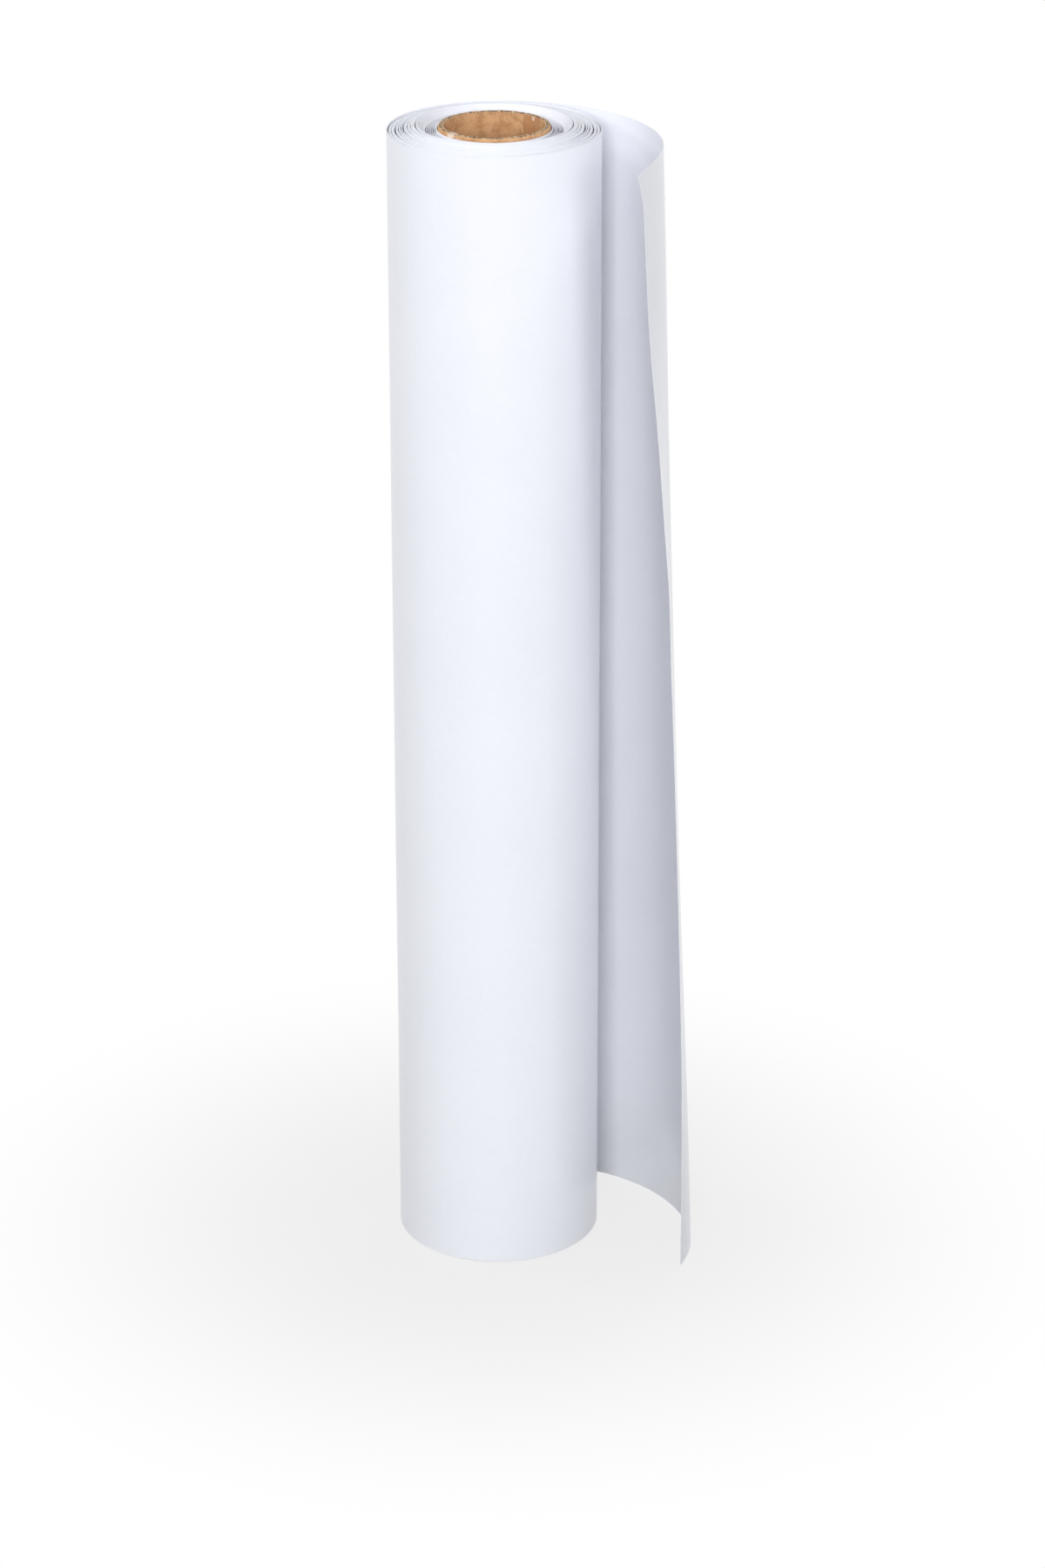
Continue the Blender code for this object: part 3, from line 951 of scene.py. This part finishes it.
def add_floor(stage):
    """The floor: a disc of rings, whose radius grows with the square of the share."""
    share = np.linspace(0.0, 1.0, 25)[1:]
    azimuth = np.linspace(0.0, TURN, 65)[:-1]
    rings = on_roll(stage.floor_radius * share[:, None] ** 2, azimuth[None], 0.0)
    points = np.concatenate([rings.reshape(-1, 3), [[0.0, 0.0, 0.0]]])
    index = np.arange(rings.size // 3).reshape(rings.shape[:2])
    index = np.concatenate([index, index[:, :1]], axis=1)
    middle = np.full(index.shape[1] - 1, len(points) - 1)
    hub = np.stack([index[0, 1:], index[0, :-1], middle], axis=1)
    mesh = bpy.data.meshes.new("studio_floor")
    mesh.from_pydata(points, [], grid_quads(index)[:, ::-1].tolist() + hub.tolist())
    mesh.materials.append(shared(studio_floor))
    floor = bpy.data.objects.new("studio_floor", mesh)
    bpy.context.scene.collection.objects.link(floor)


def add_world(stage):
    """White surroundings: full white where they are seen, and an even fill where they light."""
    world = Finish(bpy.data.worlds.new("studio"))
    fill = world.node("ShaderNodeBackground", {}, {"Color": stage.fill_colour, "Strength": stage.fill})
    white = world.node("ShaderNodeBackground", {}, {"Color": (1.0, 1.0, 1.0), "Strength": 1.0})
    bpy.context.scene.world = world.seen_or_lit(1.0, fill, white)


def add_lamp(name, power, size, place):
    """A square soft light that faces the roll's middle."""
    lamp = bpy.data.lights.new(name, "AREA")
    lamp.shape = "SQUARE"
    lamp.size = size
    lamp.energy = power
    holder = bpy.data.objects.new(name, lamp)
    bpy.context.scene.collection.objects.link(holder)
    aim = np.array([0.0, 0.0, WEB_WIDTH / 2]) - np.array(place)
    flat_reach = math.hypot(aim[0], aim[1])
    holder.location = place
    holder.rotation_euler = (math.atan2(flat_reach, -aim[2]), 0.0, math.atan2(-aim[0], aim[1]))


def add_camera(stage):
    """The camera at the photograph's place: pitched down from level and leaning about its own axis."""
    camera = bpy.data.cameras.new("camera")
    camera.lens = stage.lens
    camera.sensor_width = SENSOR_WIDTH
    holder = bpy.data.objects.new("camera", camera)
    bpy.context.scene.collection.objects.link(holder)
    holder.location = stage.eye
    holder.rotation_mode = "QUATERNION"
    pitch = math.pi / 2 - stage.pitch
    near, tip = math.cos(pitch / 2), math.sin(pitch / 2)
    level, lean = math.cos(stage.roll / 2), math.sin(stage.roll / 2)
    holder.rotation_quaternion = (near * level, tip * level, -tip * lean, near * lean)
    bpy.context.scene.camera = holder


# Operators


class PAPERROLL_OT_core(bpy.types.Operator):
    """Build the four plies of the kraft tube"""

    bl_idname = "paper_roll.core"
    bl_label = "Core"

    def execute(self, context):
        faces = [shared(kraft_face), shared(kraft_liner), shared(kraft_torn), shared(glued_face)]
        add_core(settings().core, *faces, shared(kraft_rim))
        return {"FINISHED"}


class PAPERROLL_OT_rim_fibres(bpy.types.Operator):
    """Build the loose fibres and the torn tuft on the tube's rim"""

    bl_idname = "paper_roll.rim_fibres"
    bl_label = "Rim fibres"

    def execute(self, context):
        add_rim_fibres(settings().core, shared(loose_fibre))
        return {"FINISHED"}


class PAPERROLL_OT_start_tape(bpy.types.Operator):
    """Build the tape that holds the web's first edge to the tube"""

    bl_idname = "paper_roll.start_tape"
    bl_label = "Start tape"

    def execute(self, context):
        add_start_tape(settings().core, shared(creped_tape))
        return {"FINISHED"}


class PAPERROLL_OT_wound_web(bpy.types.Operator):
    """Build the wound web"""

    bl_idname = "paper_roll.wound_web"
    bl_label = "Wound web"

    def execute(self, context):
        add_wound_web(settings().web, settings().core)
        return {"FINISHED"}


class PAPERROLL_OT_loose_turns(bpy.types.Operator):
    """Build the last turns, which lie loose round the wound web"""

    bl_idname = "paper_roll.loose_turns"
    bl_label = "Loose turns"

    def execute(self, context):
        add_under_turns(settings().web)
        add_last_turn(settings().web)
        return {"FINISHED"}


class PAPERROLL_OT_tail(bpy.types.Operator):
    """Build the tail that peels and curls away from the roll"""

    bl_idname = "paper_roll.tail"
    bl_label = "Tail"

    def execute(self, context):
        add_tail(settings().web, settings().tail)
        return {"FINISHED"}


class PAPERROLL_OT_stage(bpy.types.Operator):
    """Set up the white floor, the surroundings, the lights and the camera"""

    bl_idname = "paper_roll.stage"
    bl_label = "Stage"

    def execute(self, context):
        stage = settings().stage
        add_floor(stage)
        add_world(stage)
        for name, (size, place) in LAMPS.items():
            add_lamp(name + "_light", getattr(stage, name), size, place)
        add_camera(stage)
        context.scene.view_settings.view_transform = "Standard"
        return {"FINISHED"}


class PaperRollSettings(bpy.types.PropertyGroup):
    """All settings of the roll."""

    web: bpy.props.PointerProperty(type=WebSettings)
    tail: bpy.props.PointerProperty(type=TailSettings)
    core: bpy.props.PointerProperty(type=CoreSettings)
    finish: bpy.props.PointerProperty(type=FinishSettings)
    stage: bpy.props.PointerProperty(type=StageSettings)


OPERATORS = (
    PAPERROLL_OT_stage,
    PAPERROLL_OT_core,
    PAPERROLL_OT_rim_fibres,
    PAPERROLL_OT_start_tape,
    PAPERROLL_OT_wound_web,
    PAPERROLL_OT_loose_turns,
    PAPERROLL_OT_tail,
)


class PAPERROLL_PT_panel(bpy.types.Panel):
    """The roll's steps and settings in the sidebar"""

    bl_label = "Paper Roll"
    bl_space_type = "VIEW_3D"
    bl_region_type = "UI"
    bl_category = "Paper Roll"

    def draw(self, context):
        roll = context.scene.paper_roll
        for operator in OPERATORS:
            self.layout.operator(operator.bl_idname)
        for group in (roll.web, roll.tail, roll.core, roll.finish, roll.stage):
            box = self.layout.box()
            for name in group.__annotations__:
                box.prop(group, name)


CLASSES = (
    WebSettings,
    TailSettings,
    CoreSettings,
    FinishSettings,
    StageSettings,
    PaperRollSettings,
    *OPERATORS,
    PAPERROLL_PT_panel,
)


def register():
    for item in CLASSES:
        bpy.utils.register_class(item)
    bpy.types.Scene.paper_roll = bpy.props.PointerProperty(type=PaperRollSettings)


def unregister():
    del bpy.types.Scene.paper_roll
    for item in reversed(CLASSES):
        bpy.utils.unregister_class(item)


def main():
    """Build the whole scene."""
    register()
    bpy.ops.paper_roll.stage()
    bpy.ops.paper_roll.core()
    bpy.ops.paper_roll.rim_fibres()
    bpy.ops.paper_roll.start_tape()
    bpy.ops.paper_roll.wound_web()
    bpy.ops.paper_roll.loose_turns()
    bpy.ops.paper_roll.tail()


if __name__ == "__main__":
    main()
